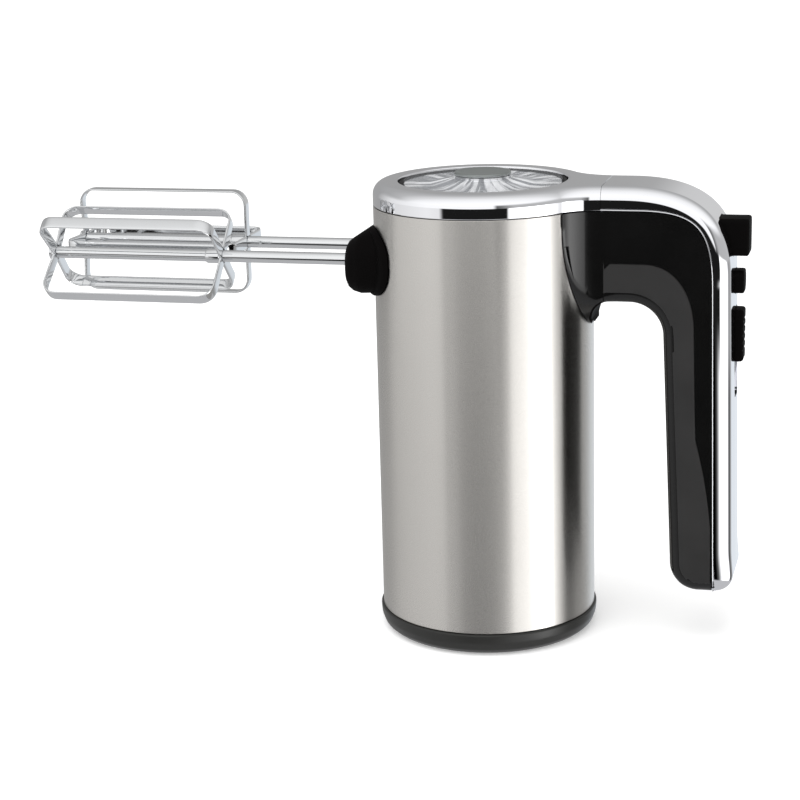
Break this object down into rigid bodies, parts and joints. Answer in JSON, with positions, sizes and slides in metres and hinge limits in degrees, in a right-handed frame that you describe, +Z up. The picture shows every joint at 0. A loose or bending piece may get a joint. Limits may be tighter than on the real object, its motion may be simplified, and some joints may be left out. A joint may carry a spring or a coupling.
{
  "type": "hand mixer",
  "caption": "Stand-up hand mixer: brushed steel cylinder with a chrome ring, clear cap, bent handle and two pull-out wing beaters driven by a worm gear.",
  "frame": {"origin": "centre of the heel, on the surface the mixer stands on", "axes": "+Z up along the cylinder, beaters along -X, handle on +X"},
  "size_m": [0.2929, 0.092, 0.1932],
  "materials": {
    "sleeve_steel": "brushed along the cylinder, satin",
    "chrome_trim": "polished chrome plate",
    "beater_chrome": "polished",
    "gloss_black": "gloss",
    "soft_black": "satin soft touch",
    "heel_black": "satin",
    "control_black": "matte",
    "rubber_black": "matte",
    "cap_silver": "silvered, gloss",
    "cap_clear": "clear, polished",
    "cap_grey": "satin",
    "nylon": "matte",
    "gearbox_grey": "matte",
    "machined_steel": "machined",
    "motor_iron": "varnished laminations",
    "copper": "enamelled copper wire",
    "brass": "machined",
    "dark_parts": "matte",
    "board_green": "solder mask"
  },
  "bodies": {
    "housing": {"body_sleeve": "sleeve_steel", "top_ring": "chrome_trim", "handle_trim": "chrome_trim", "handle_shell_left": "gloss_black", "handle_shell_right": "gloss_black", "grip_inlay": "soft_black", "base_cap": "heel_black", "nose_housing": "control_black", "foot_ring": "rubber_black", "foot_pad": "rubber_black", "cap_seal": "rubber_black", "cord_inlet": "rubber_black", "cap_reflector": "cap_silver", "cap_lens": "cap_clear", "cap_badge": "cap_grey", "motor_bracket": "nylon", "turbo_switch": "nylon", "gearbox_housing": "gearbox_grey", "gearbox_cover": "gearbox_grey", "base_screw_1": "machined_steel", "base_screw_2": "machined_steel", "eject_spring": "machined_steel", "turbo_spring": "machined_steel", "stator_core": "motor_iron", "field_coil_front": "copper", "field_coil_rear": "copper", "spindle_bush_left": "brass", "spindle_bush_right": "brass", "upper_bearing": "brass", "lower_bearing": "brass", "brush_holder_left": "brass", "brush_holder_right": "brass", "carbon_brush_left": "dark_parts", "carbon_brush_right": "dark_parts", "speed_switch": "dark_parts", "control_board": "board_green"},
    "motor_rotor": {"rotor_shaft": "machined_steel", "worm": "machined_steel", "armature_core": "motor_iron", "armature_winding": "copper", "commutator": "copper", "cooling_fan": "dark_parts"},
    "left_drive": {"worm_wheel_left": "nylon", "spindle_left": "machined_steel"},
    "left_beater": {"beater_shaft_left": "beater_chrome", "beater_wing_left_1": "beater_chrome", "beater_wing_left_2": "beater_chrome", "beater_wing_left_3": "beater_chrome", "beater_wing_left_4": "beater_chrome"},
    "right_drive": {"worm_wheel_right": "nylon", "spindle_right": "machined_steel"},
    "right_beater": {"beater_shaft_right": "beater_chrome", "beater_wing_right_1": "beater_chrome", "beater_wing_right_2": "beater_chrome", "beater_wing_right_3": "beater_chrome", "beater_wing_right_4": "beater_chrome"},
    "ejector": {"eject_button": "control_black", "eject_rod": "nylon"},
    "turbo": {"turbo_button": "control_black"},
    "slider": {"speed_slider": "control_black"}
  },
  "joints": [
    {"name": "motor_spin", "type": "hinge", "parent": "housing", "child": "motor_rotor", "pos_m": [-0.008, 0, 0.1], "axis": [0, 0, 1], "continuous": true},
    {"name": "left_drive_spin", "type": "hinge", "parent": "housing", "child": "left_drive", "pos_m": [0, -0.0164, 0.1586], "axis": [1, 0, 0], "continuous": true},
    {"name": "right_drive_spin", "type": "hinge", "parent": "housing", "child": "right_drive", "pos_m": [0, 0.0164, 0.1586], "axis": [1, 0, 0], "continuous": true},
    {"name": "left_beater_pull", "type": "slide", "parent": "left_drive", "child": "left_beater", "axis": [-1, 0, 0], "range_m": [0, 0.046]},
    {"name": "right_beater_pull", "type": "slide", "parent": "right_drive", "child": "right_beater", "axis": [-1, 0, 0], "range_m": [0, 0.046]},
    {"name": "eject_press", "type": "slide", "parent": "housing", "child": "ejector", "axis": [-1, 0, 0], "range_m": [0, 0.01], "stiffness_N_per_m": 300, "springref_m": -0.01, "deforming": ["eject_spring"]},
    {"name": "turbo_press", "type": "slide", "parent": "housing", "child": "turbo", "axis": [-1, 0, 0], "range_m": [0, 0.0025], "stiffness_N_per_m": 400, "springref_m": -0.002, "deforming": ["turbo_spring"]},
    {"name": "speed_slide", "type": "slide", "parent": "housing", "child": "slider", "axis": [0, 0, -1], "range_m": [0, 0.014]}
  ],
  "couplings": [
    {"joint": "left_drive_spin", "follows": "motor_spin", "ratio": -0.083333},
    {"joint": "right_drive_spin", "follows": "motor_spin", "ratio": 0.083333}
  ]
}
